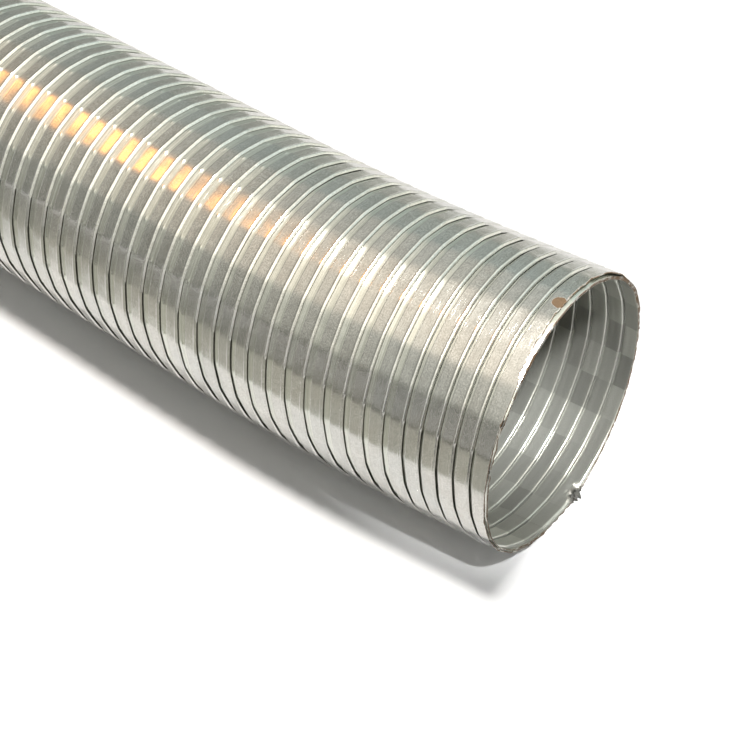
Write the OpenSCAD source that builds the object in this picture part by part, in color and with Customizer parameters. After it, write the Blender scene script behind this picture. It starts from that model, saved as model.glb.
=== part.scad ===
// Flexible air duct, wound from one hooked steel strip. Every turn of the strip is a part of its own,
// because each turn slides and tilts in the next one.
// The mouth is at the origin and faces +X. The duct lies level, runs towards -X and bends towards +Y.

/* [Duct] */
// Outside diameter over the corners of the facets
outer_d = 104; // [80:1:140]
// Flats that the strip is creased into on each turn
facets = 25; // [20:1:30]
// Turns of strip, with the two that are cut at each end
turns = 38; // [24:1:44]
// Angle of the first seam between two turns, from the top towards -Y
seam_angle = 174.2; // [150:0.1:210]
// Angle by which the creases move on from one turn to the next
crease_step = 0.26; // [-1:0.02:1]

/* [Strip] */
// Thickness of the strip
strip_t = 0.4; // [0.3:0.05:0.5]
// Height of the hooked section, from the bore to the outside
profile_h = 2.4; // [2.1:0.1:3.5]
// Width of the outer land, from the lip to the slope
land_w = 5.5; // [5.3:0.1:5.7]
// Width of the slope from the outer land down to the inner one
slope_w = 0.7; // [0.5:0.05:0.9]
// Width of the inner land that reaches under the next turn
tuck_w = 4.4; // [4:0.1:4.5]
// Width of a lip or hook at its root
hook_w = 0.5; // [0.4:0.05:0.7]
// Lean of a lip or hook from root to tip
hook_lean = 0.25; // [0.1:0.05:0.4]
// Clearance between the tip of a lip or hook and the land it points at
tip_gap = 0.35; // [0.25:0.05:0.5]
// Gap between the end of one turn and the start of the next
seam_gap = 0.5; // [0.3:0.1:1]

/* [Lay] */
// Distance from the mouth to the first whole lip, at its seam
first_lip = 4.2; // [3:0.1:6]
// Turns that are pushed together at the mouth
closed_turns = 6; // [4:1:8]
// Pitch of the turns that are pushed together
closed_pitch = 6.7; // [6.6:0.05:7.5]
// Turns in the first stretch of the bend
bend_start_turns = 3; // [2:1:5]
// Pitch in the first stretch of the bend
bend_start_pitch = 7.8; // [7.4:0.1:9]
// Turns in the middle stretch of the bend
bend_middle_turns = 5; // [3:1:7]
// Pitch in the middle stretch of the bend
bend_middle_pitch = 8.3; // [7.4:0.1:9]
// Turns in the last stretch of the bend
bend_end_turns = 3; // [2:1:5]
// Pitch in the last stretch of the bend
bend_end_pitch = 7.7; // [7.4:0.1:9]
// Pitch of the pulled-out turns after the bend
open_pitch = 9.12; // [8:0.02:9.6]
// Radius of the bend at the centreline
bend_r = 876; // [700:1:2000]
// Distance along the duct at which the bend starts
bend_from = 34; // [20:1:60]
// Length of duct that is bent
bend_length = 101; // [60:1:140]
// Length of duct left past the last lip, where the far end is cut
end_trim = 1; // [0.6:0.1:2]

/* [Hidden] */
r_out = outer_d / 2;
closed_k = closed_turns;
start_k = closed_k + bend_start_turns;
middle_k = start_k + bend_middle_turns;
end_k = middle_k + bend_end_turns;

function pitch(k) =
    k < closed_k ? closed_pitch :
    k < start_k ? bend_start_pitch :
    k < middle_k ? bend_middle_pitch :
    k < end_k ? bend_end_pitch : open_pitch;

// Distance along the duct of each turn's seam. The first two seams lie beyond the cut at the mouth.
cut_turns = 2;
seams = [for (k = 0, s = first_lip - cut_turns * closed_pitch; k <= turns; s = s + pitch(k), k = k + 1) s];
duct_length = seams[turns] + end_trim;

// The centreline: straight, then an arc, then straight.
bend_angle = bend_length / bend_r * 180 / PI;
function turned(s) = min(max(s - bend_from, 0), bend_length) / bend_r * 180 / PI;
function centre(s) =
    let (a = turned(s), past = max(s - bend_from - bend_length, 0))
    [-min(s, bend_from) - bend_r * sin(a) - past * cos(a), bend_r * (1 - cos(a)) + past * sin(a), 0];
function along(s) = [-cos(turned(s)), sin(turned(s)), 0];
function across(s) = [-sin(turned(s)), -cos(turned(s)), 0];

// The hooked section, as [distance from the lip, depth below the outside], all the way round:
// along the outside from the tip of the lip to the tip of the hook, and back along the bore.
slope_end = land_w + slope_w;
section_w = slope_end + tuck_w + hook_w;
wall_shift = strip_t / norm([slope_w, profile_h - strip_t]);
under_slope = [-wall_shift * (profile_h - strip_t), wall_shift * slope_w];
function under(depth) =
    land_w + under_slope[0] + slope_w * (depth - under_slope[1]) / (profile_h - strip_t);
tip_depth = profile_h - strip_t - tip_gap;
hook_depth = strip_t + tip_gap;
section = [
    [hook_lean, tip_depth],
    [0, 0],
    [land_w, 0],
    [slope_end, profile_h - strip_t],
    [section_w - hook_w, profile_h - strip_t],
    [section_w - hook_lean, hook_depth],
    [section_w, profile_h],
    [under(profile_h), profile_h],
    [under(strip_t), strip_t],
    [hook_w, strip_t]
];
sides = len(section);
section_triangles = [[0, 1, 9], [1, 2, 8], [1, 8, 9], [2, 3, 7], [2, 7, 8], [3, 4, 6], [3, 6, 7], [4, 5, 6]];

// The play between two turns: pushed together, a lip meets the slope or a hook the underside of the
// slope; pulled apart, lip meets hook.
lip_stop = land_w + slope_w * tip_depth / (profile_h - strip_t) - hook_lean;
hook_stop = section_w - hook_lean - under(hook_depth);
hook_face = hook_w - (hook_w - hook_lean) * tip_gap / (tip_depth - strip_t);
echo(least_pitch = max(lip_stop, hook_stop), most_pitch = section_w - hook_lean - hook_face);

// The section at a crease, share x of the way round turn k.
function ring(k, x) =
    let (
        s = seams[k] + pitch(k) * x,
        a = seam_angle + crease_step * k - (360 - crease_step) * x,
        middle = centre(s), ahead = along(s), aside = across(s)
    )
    [for (p = section) middle + p[0] * ahead + (r_out - p[1]) * (cos(a) * [0, 0, 1] + sin(a) * aside)];

function between(a, b, share) = a + (b - a) * share;

// The rings of turn k. Its two ends stop short of the seams by half the gap, on the flat of the facet.
function rings(k) =
    let (
        whole = [for (j = [0 : facets]) ring(k, j / facets)],
        short = seam_gap / 2 / (2 * r_out * sin(180 / facets))
    )
    [for (j = [0 : facets])
        j == 0 ? between(whole[0], whole[1], short) :
        j == facets ? between(whole[facets], whole[facets - 1], short) : whole[j]];

module strip(k) {
    points = [for (r = rings(k)) for (p = r) p];
    last = facets * sides;
    walls = [for (j = [0 : facets - 1]) for (i = [0 : sides - 1])
        let (a = j * sides + i, b = j * sides + (i + 1) % sides)
        each [[a, b + sides, a + sides], [a, b, b + sides]]];
    start = [for (t = section_triangles) [t[2], t[1], t[0]]];
    finish = [for (t = section_triangles) [last + t[0], last + t[1], last + t[2]]];
    polyhedron(points, concat(walls, start, finish));
}

// What the saw took away: the mouth is cut square at the origin, the far end square to the duct.
cut_room = section_w + open_pitch;
module cut_off() {
    translate([0, -outer_d, -outer_d]) cube([2 * cut_room, 2 * outer_d, 2 * outer_d]);
}
module cut_off_far() {
    translate(centre(duct_length)) rotate([0, 0, 180 - bend_angle])
        translate([0, -outer_d, -outer_d]) cube([2 * cut_room, 2 * outer_d, 2 * outer_d]);
}

module turn(k) {
    color(k < cut_turns ? "darkgray" : "silver")
        if (k < cut_turns) difference() { strip(k); cut_off(); }
        else if (k >= turns - cut_turns) difference() { strip(k); cut_off_far(); }
        else strip(k);
}

for (k = [0 : turns - 1])
    turn(k);
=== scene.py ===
"""Flexible air duct: one hooked strip of galvanised steel, wound so that every turn hooks into the next."""

from itertools import accumulate
from math import ceil, cos, floor, pi, radians, sin

import bmesh
import bpy
from mathutils import Matrix, Vector, noise


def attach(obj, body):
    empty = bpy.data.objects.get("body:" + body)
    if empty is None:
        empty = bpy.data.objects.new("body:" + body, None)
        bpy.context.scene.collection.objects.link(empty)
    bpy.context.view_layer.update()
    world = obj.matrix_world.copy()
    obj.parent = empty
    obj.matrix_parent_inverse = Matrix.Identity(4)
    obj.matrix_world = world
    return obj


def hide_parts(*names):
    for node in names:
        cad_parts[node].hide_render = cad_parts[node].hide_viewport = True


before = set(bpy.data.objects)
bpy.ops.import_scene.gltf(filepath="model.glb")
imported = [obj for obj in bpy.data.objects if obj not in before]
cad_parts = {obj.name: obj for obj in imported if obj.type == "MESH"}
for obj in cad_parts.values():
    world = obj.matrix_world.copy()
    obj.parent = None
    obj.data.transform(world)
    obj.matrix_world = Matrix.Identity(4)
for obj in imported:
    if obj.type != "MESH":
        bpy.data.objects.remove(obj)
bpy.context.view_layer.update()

MM = 0.001

# The lay of the duct, in millimetres and degrees: the mouth is at the origin and faces +X.
OUTER_R = 52.0
FACETS = 25
TURNS = 38
SEAM_ANGLE = 174.2
CREASE_STEP = 0.26
FIRST_LIP = 4.2
CUT_TURNS = 2
STRETCHES = ((6, 6.7), (3, 7.68), (5, 8.24), (3, 7.66))
OPEN_PITCH = 9.12
BEND_R = 876.0
BEND_FROM = 34.0
BEND_LENGTH = 101.0
END_TRIM = 1.0

# The strip: its thickness, a facet's length, the gap at a seam, the rounding of the creases, how far they
# wander in and out, how far the facets bulge, and the angle from which an edge is sharp.
STRIP_T = 0.35
FACET = 2 * OUTER_R * sin(pi / FACETS)
SEAM_GAP = 0.1
CREASE_R = 1.3
FACET_WANDER = 0.05
FACET_BULGE = 0.16
SHARP_ANGLE = 50

# The outer skin of the hooked section as (distance from the lip, depth), with each corner's rounding.
SECTION = (
    (-0.25, 0.94, 0),
    (0.02, 0.5, 0.28),
    (0.42, 0.0, 0.22),
    (1.05, 0.13, 0.14),
    (1.4, 0.14, 0),
    (4.8, 0.11, 0),
    (5.2, 0.1, 0.35),
    (5.42, 1.42, 0.25),
    (7.0, 1.24, 0),
    (7.5, 1.17, 0),
    (7.75, 1.14, 0),
    (8.0, 1.1, 0),
    (8.25, 1.07, 0),
    (8.5, 1.04, 0),
    (9.3, 0.98, 0),
    (10.65, 0.98, 0.2),
    (10.68, 0.78, 0),
)

# The lip is what lies deeper than its top and nearer than its end. Where the strip faces down, it is
# shorter by a share, which fades in as the way out dips.
LIP_TOP = 0.3
LIP_END = 0.45
LIP_EDGE, LIP_DEPTH, _ = SECTION[0]
LIP_LIFT = 0.6
LIFT_FROM = 0.26
LIFT_FADE = 0.15

# Beside the saw cut the second turn's lip is pressed flat, spread over the cut up to this far along the
# strip, and its edge is torn.
BEAD_END = 1.5
BEAD_DEPTH = 0.13
SPREAD = 1.4
SPREAD_END = 122.0
SPREAD_FADE = 5.0
TORN_LIP = 0.35
TORN_LIP_RATE = 0.25

# The dimple that each crease leaves in the tucked land.
DIMPLE_AT = 7.7
DIMPLE_LENGTH = 2.2
DIMPLE_WIDTH = 0.9
DIMPLE_H = 0.28

# Distances from a crease to the rings of the mesh beside it, and the longest step on the flats, which is
# shorter on the turns at the mouth.
RINGS_AT = (0, 0.65, 1.3, 2.0)
LONGEST_STEP = 3.5
LONGEST_STEP_MOUTH = 1.0

# The saw cut at the mouth leans a little off square, and its edge is ragged by a coarse and a fine noise.
CUT_YAW = 1.15
CUT_TILT = 1.28
RAGGED = 0.8
ON_CUT = 0.01
COARSE_RATE = 0.35
FINE_RATE = 1.3

# At the mouth the saw bent the upper inner layer of the strip, and left a flared burr below. A spot of
# rust lies above.
CURL_REACH = 2.2
CURL = 1.0
CURL_ROUNDING = 1.5
CURL_LEAN = 0.6
CURL_FADE = 30.0
BURR_AT = (0.0, 15.7, -48.4)
BURR_REACH = 6.5
BURR = 3.0
BURR_LEAN = 0.4
BURR_BASE = 0.4
BURR_TORN = 1.8
BURR_RATE = 1.1
FLARE_REACH = 15.0
FLARE = 0.5
RUST_AT = (-2.3, -6.8, 51.5)
RUST_REACH = 2.6

# The camera: 98 mm lens, 0.7 m from the duct.
LENS = 97.7075
CAMERA_AT = (259.5, -473.1, 446.1)
CAMERA_AIM = (-59.3, -29.5, 8.4)
CAMERA_ROLL = 0.42

FLOOR_Z = -OUTER_R

# The lamps: where they stand and what they aim at in millimetres, their size in millimetres or degrees,
# and their strength. The key is so far away that only its direction counts.
KEY_TOWARDS = (-0.02, -0.14, 1.0)
KEY_WIDTH = 10
KEY_STRENGTH = 2.95
KEY_COLOUR = (1, 0.99, 0.97)
WARM_AT = (-1255, -165, 1220)
WARM_AIM = (-200, 0, 0)
WARM_SIZE = 75
WARM_WATTS = 1.05
WARM_COLOUR = (1, 0.4, 0.06)
SPOT_AT = (237, -210, 480)
SPOT_AIM = (-15, 18, -12)
SPOT_SIZE = 40
SPOT_CONE = 9
SPOT_BLEND = 0.3
SPOT_WATTS = 44

# The floor and, 1 mm above it, the cards: name, size, place and turn, dark and light tone, and where along
# Y one tone fades into the other. These are in metres.
FLOOR_SIZE = 8
FLOOR_X = -0.15
PAPER = (0.95, 0.95, 0.95, 1)
CARDS = (
    ("grey_card", 1, (-0.3, -0.61), -5, (0.16, 0.16, 0.14, 1), (0.46, 0.46, 0.41, 1), (-0.36, -0.2)),
    ("black_card", 0.5, (0.31, 0.05), 0, (0.03, 0.03, 0.03, 1), (0.04, 0.04, 0.04, 1), (-0.2, 0.2)),
)


class Socket:
    """An output of a node. Sums on sockets add their own Math nodes."""

    def __init__(self, tree, socket):
        self.tree = tree
        self.socket = socket

    def math(self, operation, *values):
        return node(self.tree, "ShaderNodeMath", {"operation": operation}, dict(enumerate(values)))

    def __add__(self, other):
        return self.math("ADD", self, other)

    def __radd__(self, other):
        return self.math("ADD", other, self)

    def __sub__(self, other):
        return self.math("SUBTRACT", self, other)

    def __rsub__(self, other):
        return self.math("SUBTRACT", other, self)

    def __mul__(self, other):
        return self.math("MULTIPLY", self, other)

    def __rmul__(self, other):
        return self.math("MULTIPLY", other, self)

    def __truediv__(self, other):
        return self.math("DIVIDE", self, other)

    def above(self, low, high):
        """0 below low, 1 above high, and smooth between."""
        settings = {"interpolation_type": "SMOOTHSTEP"}
        values = {"Value": self, "From Min": low, "From Max": high}
        return node(self.tree, "ShaderNodeMapRange", settings, values)


def node(tree, kind, settings=None, inputs=None, output=0):
    """Adds a node, sets it, then gives its sockets a value or a link each."""
    made = tree.nodes.new(kind)
    for name, value in (settings or {}).items():
        if name == "stops":
            ramp = made.color_ramp
            for n, (place, colour) in enumerate(value):
                stop = ramp.elements[n] if n < 2 else ramp.elements.new(place)
                stop.position, stop.color = place, colour
        else:
            setattr(made, name, value)
    for name, value in (inputs or {}).items():
        socket = named(made.inputs, name)
        if isinstance(value, Socket):
            tree.links.new(value.socket, socket)
        else:
            socket.default_value = value
    return Socket(tree, named(made.outputs, output)) if made.outputs else None


def named(sockets, name):
    """A socket by its number, its name or its identifier, which a Mix node's sockets need."""
    if isinstance(name, int) or name in sockets:
        return sockets[name]
    return next(socket for socket in sockets if socket.identifier == name)


def mixed(share, first, second):
    """A colour between two colours."""
    inputs = {"Factor_Float": share, "A_Color": first, "B_Color": second}
    return node(share.tree, "ShaderNodeMix", {"data_type": "RGBA"}, inputs, "Result_Color")


def part(vector, axis):
    """One axis of a vector."""
    return node(vector.tree, "ShaderNodeSeparateXYZ", None, {"Vector": vector}, axis)


def new_material(name):
    material = bpy.data.materials.new(name)
    material.use_nodes = True
    material.node_tree.nodes.clear()
    return material, material.node_tree


# --- the lay -----------------------------------------------------------------------------------


def clamped(value, low=0, high=1):
    return min(max(value, low), high)


def pitch(turn):
    past = 0
    for count, width in STRETCHES:
        past += count
        if turn < past:
            return width
    return OPEN_PITCH


def seams():
    places = [FIRST_LIP - sum(pitch(turn) for turn in range(CUT_TURNS))]
    for turn in range(TURNS):
        places.append(places[-1] + pitch(turn))
    return places


SEAMS = seams()
DUCT_LENGTH = SEAMS[-1] + END_TRIM


def turned(s):
    return clamped(s - BEND_FROM, 0, BEND_LENGTH) / BEND_R


def along(s):
    return Vector((-cos(turned(s)), sin(turned(s)), 0))


def centre(s):
    bent = Vector((-min(s, BEND_FROM) - BEND_R * sin(turned(s)), BEND_R * (1 - cos(turned(s))), 0))
    return bent + max(s - BEND_FROM - BEND_LENGTH, 0) * along(s)


def outwards(s, angle):
    across = Vector((-sin(turned(s)), -cos(turned(s)), 0))
    return cos(angle) * Vector((0, 0, 1)) + sin(angle) * across


def crease_frames(turn):
    """Each crease of a turn: its middle, the way along the duct, the way out and its radius."""
    frames = {}
    for crease in range(-1, FACETS + 2):
        share = crease / FACETS
        s = SEAMS[turn] + pitch(turn) * share
        angle = radians(SEAM_ANGLE + CREASE_STEP * turn - (360 - CREASE_STEP) * share)
        wander = FACET_WANDER * noise.noise(Vector((turn * 3.7 + crease * 0.31, crease * 5.3, 1.7)))
        frames[crease] = (centre(s), along(s), outwards(s, angle), OUTER_R + wander)
    return frames


def on_facet(frames, length, across, depth):
    """A point of the strip, on the flat between two creases."""
    crease = clamped(floor(length / FACET), -1, FACETS)
    share = length / FACET - crease
    depth -= 4 * FACET_BULGE * share * (1 - share)
    ends = []
    for middle, ahead, out, radius in (frames[crease], frames[crease + 1]):
        ends.append(middle + across * ahead + (radius - depth) * out)
    return ends[0].lerp(ends[1], share)


def swell(distance, reach):
    """1 in the middle, 0 from the reach on, and round between."""
    return cos(min(abs(distance) / reach, 1) * pi / 2) ** 2


def dimple(length, across):
    off_crease = length - round(length / FACET) * FACET
    return DIMPLE_H * swell(off_crease, DIMPLE_LENGTH / 2) * swell(across - DIMPLE_AT, DIMPLE_WIDTH / 2)


def facing_down(frames, length):
    """0 where the strip faces up, 1 where it faces level or down."""
    out = frames[clamped(floor(length / FACET), 0, FACETS - 1)][2]
    return clamped((LIFT_FROM - out.z) / LIFT_FADE)


def wound(frames, length, across, depth):
    """A point of the strip, with its creases rounded."""
    before = on_facet(frames, length - CREASE_R, across, depth)
    here = on_facet(frames, length, across, depth)
    after = on_facet(frames, length + CREASE_R, across, depth)
    return (before + 2 * here + after) / 4 * MM


# --- the strip ---------------------------------------------------------------------------------


def ring_places(longest):
    """Places of the mesh's rings along the flat strip: close together at each crease, and on the
    flats no further apart than the longest step."""
    close = [after - before for before, after in zip(RINGS_AT, RINGS_AT[1:])]
    flat = FACET - 2 * RINGS_AT[-1]
    count = ceil(flat / longest)
    return list(accumulate((close + [flat / count] * count + close[::-1]) * FACETS, initial=0))


def flat_strip(longest):
    """One turn of the strip before it is wound: X is across it, Y along it and -Z is depth."""
    bm = bmesh.new()
    corners = [bm.verts.new((across, 0, -depth)) for across, depth, _ in SECTION]
    for first, second in zip(corners, corners[1:]):
        bm.edges.new((first, second))
    for corner, (_, _, rounding) in zip(corners, SECTION):
        if rounding:
            bmesh.ops.bevel(
                bm,
                geom=[corner],
                offset=rounding,
                segments=3,
                profile=0.5,
                affect="VERTICES",
                material=-1,
            )
    places = ring_places(longest)
    bmesh.ops.spin(
        bm,
        geom=bm.verts[:] + bm.edges[:],
        cent=(0, 0, 0),
        axis=(0, 0, 1),
        angle=0,
        dvec=(0, 1, 0),
        steps=len(places) - 1,
    )
    for vert in bm.verts:
        vert.co.y = places[round(vert.co.y)]
    bmesh.ops.recalc_face_normals(bm, faces=bm.faces[:])
    highest = max(bm.faces, key=lambda face: face.calc_center_median().z)
    if highest.normal.z < 0:
        bmesh.ops.reverse_faces(bm, faces=bm.faces[:])
    bmesh.ops.solidify(bm, geom=bm.faces[:], thickness=STRIP_T)
    bmesh.ops.recalc_face_normals(bm, faces=bm.faces[:])
    inside = bm.verts.layers.float.new("inside")
    bm.normal_update()
    for vert in bm.verts:
        vert[inside] = float(vert.normal.z < 0)
    for face in bm.faces:
        face.smooth = True
    for edge in bm.edges:
        edge.smooth = edge.calc_face_angle(0) < radians(SHARP_ANGLE)
    return bm


def turn_mesh(turn, strip):
    """Winds a copy of the flat strip into its place, and notes each point's place on the strip."""
    bm = strip.copy()
    lay = bm.verts.layers.float_vector.new("lay")
    inside = bm.verts.layers.float["inside"]
    frames = crease_frames(turn)
    last = FACETS * FACET
    for vert in bm.verts:
        across, length, height = vert.co
        depth, moved = -height, across
        if across < LIP_END and depth > LIP_TOP:
            reach = 1 - LIP_LIFT * facing_down(frames, length)
            depth = LIP_TOP + (min(depth, LIP_DEPTH) - LIP_TOP) * reach
        if turn == 1 and across < BEAD_END:
            depth = BEAD_DEPTH + STRIP_T * vert[inside]
            spread = SPREAD * clamped((SPREAD_END - length) / SPREAD_FADE)
            spread += TORN_LIP * noise.noise(Vector((length * TORN_LIP_RATE, 0, 0)))
            moved -= spread * (1 - across / BEAD_END)
        vert[lay] = (turn * last + length, across, depth)
        if not vert[inside] and pitch(turn) == OPEN_PITCH:
            depth -= dimple(length, across)
        length = clamped(length, SEAM_GAP / 2, last - SEAM_GAP / 2)
        vert.co = wound(frames, length, moved, depth)
    return bm


def cut_mouth(bm, is_inner):
    """Saws the strip off at the mouth, roughens the cut, bends the inner layer and raises the burr."""
    facing = Matrix.Rotation(radians(CUT_YAW), 3, "Z") @ Matrix.Rotation(radians(CUT_TILT), 3, "Y")
    across = facing @ Vector((1, 0, 0))
    from_cut = bm.verts.layers.float.new("from_cut")
    lay = bm.verts.layers.float_vector["lay"]
    saw(bm, Vector((0, 0, 0)), across)
    burr = Vector(BURR_AT)
    for vert in bm.verts:
        gap = -across.dot(vert.co) / MM
        vert[from_cut] = gap if is_inner else min(gap, max(vert[lay].y - LIP_EDGE, 0))
        place = vert.co / MM
        way_out = Vector((0, place.y, place.z)).normalized()
        if is_inner and gap < CURL_REACH:
            on_top = clamped((place.z - CURL_LEAN * place.y) / CURL_FADE)
            vert.co -= way_out * CURL * on_top * (1 - gap / CURL_REACH) ** CURL_ROUNDING * MM
        if gap < ON_CUT:
            rough = max(0, noise.noise(place * COARSE_RATE)) + 0.5 * abs(noise.noise(place * FINE_RATE))
            vert.co -= across * (rough * RAGGED * MM)
        off_burr = (place - burr).length
        torn = BURR_BASE + BURR_TORN * noise.noise(place * BURR_RATE)
        vert.co += (way_out + BURR_LEAN * across) * swell(off_burr, BURR_REACH) * torn * BURR * MM
        vert.co += way_out * swell(off_burr, FLARE_REACH) * FLARE * MM


def cut_far_end(bm):
    saw(bm, centre(DUCT_LENGTH) * MM, along(DUCT_LENGTH))


def saw(bm, place, facing):
    """Takes away what lies past a plane, and closes the cut."""
    cut = bmesh.ops.bisect_plane(
        bm,
        geom=bm.verts[:] + bm.edges[:] + bm.faces[:],
        plane_co=place,
        plane_no=facing,
        dist=1e-7,
        clear_outer=True,
    )
    rim = [item for item in cut["geom_cut"] if isinstance(item, bmesh.types.BMEdge)]
    bmesh.ops.triangle_fill(bm, use_beauty=True, use_dissolve=False, edges=rim, normal=facing)
    bmesh.ops.recalc_face_normals(bm, faces=bm.faces[:])


def make_turns():
    plain, cut = flat_strip(LONGEST_STEP), flat_strip(LONGEST_STEP_MOUTH)
    for turn in range(TURNS):
        name = f"turn_{turn + 1:02d}"
        at_mouth = turn < CUT_TURNS
        bm = turn_mesh(turn, cut if at_mouth else plain)
        if at_mouth:
            cut_mouth(bm, turn == 0)
        if turn >= TURNS - CUT_TURNS:
            cut_far_end(bm)
        mesh = bpy.data.meshes.new(name + "_strip")
        bm.to_mesh(mesh)
        bm.free()
        mesh.materials.append(CUT_STEEL if at_mouth else STEEL)
        piece = bpy.data.objects.new(name + "_strip", mesh)
        bpy.context.scene.collection.objects.link(piece)
        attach(piece, name)
        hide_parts(name)


# --- finishes ----------------------------------------------------------------------------------


DULL_ZINC = (0.48, 0.475, 0.445, 1)
BRIGHT_ZINC = (0.74, 0.73, 0.69, 1)
WARM_CLOUD = (0.5, 0.48, 0.44, 1)
BLUE_DRIFT = (0.5, 0.53, 0.53, 1)
DRAWN_LINE = (0.7, 0.7, 0.67, 1)
SCRATCH = (0.85, 0.85, 0.83, 1)
RUBBED_GROOVE = (0.8, 0.82, 0.74, 1)
GROOVE_LINE = (0.42, 0.43, 0.38, 1)
BORE_GREY = (0.42, 0.43, 0.385, 1)
# Painted reflection: the dark tone that whole facets take at random, standing in for the checkerboard of
# reflections between the facets.
PAINTED_FACET_REFLECTION = (0.17, 0.17, 0.155, 1)
DARK_RUST = (0.035, 0.02, 0.008, 1)
LIGHT_RUST = (0.13, 0.08, 0.04, 1)
# Painted shade: near black for the burr's torn flap, which lies in shadow.
BURR_PAINTED_SHADE = (0.02, 0.018, 0.014, 1)


def noise_on(tree, place, scale, detail=2.0, rough=0.5):
    inputs = {"Vector": place, "Scale": scale, "Detail": detail, "Roughness": rough}
    return node(tree, "ShaderNodeTexNoise", None, inputs)


def bump(height, strength, rise, **below):
    """A relief that rises by so many millimetres, on top of the one whose normal is given."""
    inputs = {"Height": height, "Strength": strength, "Distance": rise * MM, **below}
    return node(height.tree, "ShaderNodeBump", None, inputs)


def off(place, middle):
    """Distance in millimetres from a place on the duct."""
    inputs = {0: place, 1: [value * MM for value in middle]}
    return node(place.tree, "ShaderNodeVectorMath", {"operation": "DISTANCE"}, inputs, "Value") / MM


def galvanised(name, with_rust_and_burr_shade):
    """Zinc on rolled strip: fine mottle, drifting tint, drawn lines along the strip and small scratches."""
    material, tree = new_material(name)
    place = node(tree, "ShaderNodeTexCoord", output="Object")
    lay = node(tree, "ShaderNodeAttribute", {"attribute_name": "lay"}, output="Vector")

    def along_strip(length, width):
        scale = (1 / length, 1 / width, 1 / width)
        return node(tree, "ShaderNodeMapping", None, {"Vector": lay, "Scale": scale})

    inside = node(tree, "ShaderNodeAttribute", {"attribute_name": "inside"}, output="Fac")

    mottle = noise_on(tree, place, 1900, 4, 0.75)
    cloud = noise_on(tree, place, 260, 2)
    drift = noise_on(tree, place, 38, 1)
    drawn = noise_on(tree, along_strip(26, 0.42), 1, 2)
    scratch = noise_on(tree, along_strip(7, 0.16), 1, 1).above(0.66, 0.74)
    lines = noise_on(tree, along_strip(70, 0.34), 1, 1).above(0.42, 0.58)
    in_groove = part(lay, "Z").above(0.5, 0.9) * (1 - inside)
    # A random value for each facet, which darkens whole facets below as a painted reflection.
    facets_along = part(lay, "X") / FACET
    facet = facets_along.math("FLOOR", facets_along)
    facet_painted_reflection = node(tree, "ShaderNodeTexWhiteNoise", {"noise_dimensions": "1D"}, {"W": facet}, "Value")

    grey = mixed(mottle.above(0.36, 0.64), DULL_ZINC, BRIGHT_ZINC)
    grey = mixed(cloud.above(0.4, 0.7) * 0.35, grey, WARM_CLOUD)
    grey = mixed(drift.above(0.35, 0.65) * 0.3, grey, BLUE_DRIFT)
    grey = mixed(drawn.above(0.45, 0.75) * 0.35, grey, DRAWN_LINE)
    grey = mixed(scratch * 0.4, grey, SCRATCH)
    grey = mixed(in_groove * 0.5, grey, RUBBED_GROOVE)
    grey = mixed(lines * in_groove * 0.4, grey, GROOVE_LINE)
    grey = mixed(inside * 0.8, grey, BORE_GREY)
    # Painted reflection: whole facets darkened at random, a little on the outside and much more in the
    # bore, standing in for the checkerboard of reflections between the facets.
    grey = mixed(facet_painted_reflection * (0.1 + 0.55 * inside), grey, PAINTED_FACET_REFLECTION)
    rough = 0.2 + 0.12 * mottle - 0.03 * drawn + 0.06 * inside
    metal = 1 - 0.3 * inside
    height = mottle * 0.14 + drawn * 0.7 + scratch * 0.3

    if with_rust_and_burr_shade:
        # Rust along the cut edges and in a spot, and painted shade on the burr.
        from_cut = node(tree, "ShaderNodeAttribute", {"attribute_name": "from_cut"}, output="Fac")
        patch = noise_on(tree, place, 260, 3, 0.65)
        edge = 1 - (from_cut + 0.5 * (patch - 0.5)).above(0.1, 0.45)
        rust_and_burr_shade = edge * patch.above(0.3, 0.5)
        spot = 1 - (off(place, RUST_AT) + 2.2 * (patch - 0.5)).above(0.92 * RUST_REACH, RUST_REACH)
        rust_and_burr_shade = rust_and_burr_shade.math("MAXIMUM", rust_and_burr_shade, spot)
        # Painted shade: around the burr the colour turns near black and the metal dull, for the shadow on
        # the torn flap. This is mixed in with the rust.
        off_burr = off(place, BURR_AT) + 5 * (patch - 0.5)
        torn = 1 - off_burr.above(0.45 * BURR_REACH, 0.8 * BURR_REACH)
        rust_and_burr_shade_colour = mixed(mottle, DARK_RUST, LIGHT_RUST)
        rust_and_burr_shade_colour = mixed(torn, rust_and_burr_shade_colour, BURR_PAINTED_SHADE)
        rust_and_burr_shade = rust_and_burr_shade.math("MAXIMUM", rust_and_burr_shade, torn * 0.85)
        grey = mixed(rust_and_burr_shade, grey, rust_and_burr_shade_colour)
        rough = rough + rust_and_burr_shade * 0.4
        metal = metal * (1 - rust_and_burr_shade * 0.85)

    ripple = bump(noise_on(tree, place, 120, 1), 0.35, 0.6)
    relief = bump(height, 0.3, 0.06, Normal=ripple)
    inputs = {"Base Color": grey, "Roughness": rough, "Metallic": metal, "Normal": relief}
    steel = node(tree, "ShaderNodeBsdfPrincipled", None, inputs)
    node(tree, "ShaderNodeOutputMaterial", None, {"Surface": steel})
    return material


STEEL = galvanised("galvanised_strip", False)
CUT_STEEL = galvanised("cut_strip", True)


# --- stage -------------------------------------------------------------------------------------


def flat_sheet(name, size, place, yaw, material):
    """A level square, moved to its place and then turned about the origin."""
    bm = bmesh.new()
    bmesh.ops.create_grid(bm, x_segments=1, y_segments=1, size=size / 2)
    bmesh.ops.translate(bm, verts=bm.verts[:], vec=place)
    bmesh.ops.rotate(bm, verts=bm.verts[:], matrix=Matrix.Rotation(radians(yaw), 3, "Z"))
    mesh = bpy.data.meshes.new(name)
    bm.to_mesh(mesh)
    bm.free()
    mesh.materials.append(material)
    sheet = bpy.data.objects.new(name, mesh)
    bpy.context.scene.collection.objects.link(sheet)
    return sheet


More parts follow.
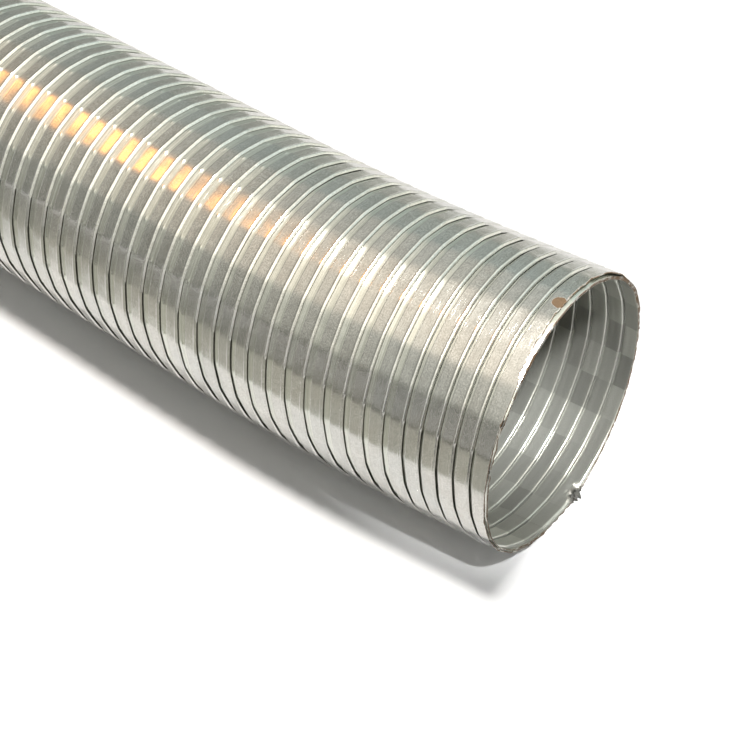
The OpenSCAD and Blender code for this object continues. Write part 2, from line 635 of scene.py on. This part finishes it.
def white_floor():
    material, tree = new_material("white_paper")
    paper = node(tree, "ShaderNodeBsdfDiffuse", None, {"Color": PAPER})
    node(tree, "ShaderNodeOutputMaterial", None, {"Surface": paper})
    flat_sheet("floor", FLOOR_SIZE, (FLOOR_X, 0, FLOOR_Z * MM), 0, material)


def floor_card(name, size, place, yaw, dark, light, fade):
    """A card on the floor that only the metal sees. Its tone goes from dark to light along Y."""
    material, tree = new_material(name)
    near = part(node(tree, "ShaderNodeTexCoord", output="Object"), "Y").above(*fade)
    card = node(tree, "ShaderNodeBsdfDiffuse", None, {"Color": mixed(near, dark, light)})
    node(tree, "ShaderNodeOutputMaterial", None, {"Surface": card})
    board = flat_sheet(name, size, (*place, (FLOOR_Z + 1) * MM), yaw, material)
    board.visible_camera = False
    board.visible_shadow = False
    board.visible_diffuse = False


# What the duct sees round itself, by the angle from straight up, positive towards the camera's side.
ROOM = (
    (-180, (0.9, 0.9, 0.88)),
    (-145, (2.0, 1.95, 1.85)),
    (-108, (1.9, 1.84, 1.66)),
    (-84, (0.42, 0.43, 0.38)),
    (-50, (0.46, 0.53, 0.51)),
    (-24, (0.68, 0.67, 0.61)),
    (4, (0.95, 0.86, 0.72)),
    (32, (1.25, 1.14, 0.98)),
    (58, (0.7, 0.7, 0.64)),
    (90, (0.18, 0.18, 0.16)),
    (120, (0.18, 0.18, 0.16)),
    (180, (0.9, 0.9, 0.88)),
)

# Along the duct, by the X of the way that a reflection looks: dark behind the duct, bright again at its
# very end, and stronger in two steps on the mouth's side, each as (gain, from, to).
BEHIND_FADE = (-0.9, -0.42)
BEHIND = (0.28, 0.28, 0.25, 1)
FAR_END_FADE = (-0.985, -0.93)
FAR_END = (1.1, 1.1, 1.05, 1)
GAINS = ((0.7, -0.48, 0.1), (0.9, 0.15, 0.5))

# What diffuse surfaces get from all round, and what the camera sees as backdrop.
AMBIENT = (0.23, 0.23, 0.236, 1)
WHITE = (1, 1, 1, 1)


def room_light():
    world = bpy.data.worlds.new("room")
    bpy.context.scene.world = world
    world.use_nodes = True
    tree = world.node_tree
    tree.nodes.clear()
    way = node(tree, "ShaderNodeTexCoord", output="Generated")
    ahead = part(way, "X")
    side = 0 - part(way, "Y")
    turn = side.math("ARCTAN2", side, part(way, "Z")) / (2 * pi) + 0.5
    stops = [((angle + 180) / 360, (*colour, 1)) for angle, colour in ROOM]
    tone = node(tree, "ShaderNodeValToRGB", {"stops": stops}, {"Fac": turn})
    tone = mixed(ahead.above(*BEHIND_FADE), BEHIND, tone)
    tone = mixed(ahead.above(*FAR_END_FADE), FAR_END, tone)
    seen = node(tree, "ShaderNodeLightPath", output="Is Camera Ray")
    lit = node(tree, "ShaderNodeLightPath", output="Is Diffuse Ray")
    tone = mixed(lit, tone, AMBIENT)
    tone = mixed(seen, tone, WHITE)
    near_gain, far_gain = (gain * ahead.above(low, high) for gain, low, high in GAINS)
    strength = 1 + (near_gain + far_gain) * (1 - seen) * (1 - lit)
    backdrop = node(tree, "ShaderNodeBackground", None, {"Color": tone, "Strength": strength})
    node(tree, "ShaderNodeOutputWorld", None, {"Surface": backdrop})


def key_light():
    """The main light, far away and so even over the floor, as wide as a soft box."""
    light = bpy.data.lights.new("key", "SUN")
    light.angle = radians(KEY_WIDTH)
    light.energy = KEY_STRENGTH
    light.color = KEY_COLOUR
    aimed(light, KEY_TOWARDS, (0, 0, 0))


def warm_lamp():
    """A small lamp behind the far end, for the warm row of reflections."""
    light = bpy.data.lights.new("warm", "AREA")
    light.shape = "DISK"
    light.size = WARM_SIZE * MM
    light.energy = WARM_WATTS
    light.color = WARM_COLOUR
    aimed(light, WARM_AT, WARM_AIM)


def bore_spot():
    """A small spot that shines into the mouth."""
    light = bpy.data.lights.new("bore", "SPOT")
    light.shadow_soft_size = SPOT_SIZE * MM
    light.spot_size = radians(SPOT_CONE)
    light.spot_blend = SPOT_BLEND
    light.energy = SPOT_WATTS
    aimed(light, SPOT_AT, SPOT_AIM)


def aimed(light, place, aim):
    """Hangs a light up in its place, turned towards its aim."""
    thing = bpy.data.objects.new(light.name, light)
    thing.location = Vector(place) * MM
    thing.rotation_euler = (Vector(aim) - Vector(place)).to_track_quat("-Z", "Y").to_euler()
    bpy.context.scene.collection.objects.link(thing)


def make_camera():
    data = bpy.data.cameras.new("camera")
    data.lens = LENS
    data.sensor_width = 36
    camera = bpy.data.objects.new("camera", data)
    camera.location = Vector(CAMERA_AT) * MM
    look = (Vector(CAMERA_AIM) - Vector(CAMERA_AT)).to_track_quat("-Z", "Y").to_matrix()
    camera.rotation_euler = (look @ Matrix.Rotation(radians(CAMERA_ROLL), 3, "Z")).to_euler()
    bpy.context.scene.collection.objects.link(camera)
    bpy.context.scene.camera = camera


make_camera()
make_turns()
white_floor()
room_light()
key_light()
warm_lamp()
bore_spot()
for card in CARDS:
    floor_card(*card)
bpy.context.scene.view_settings.view_transform = "Standard"
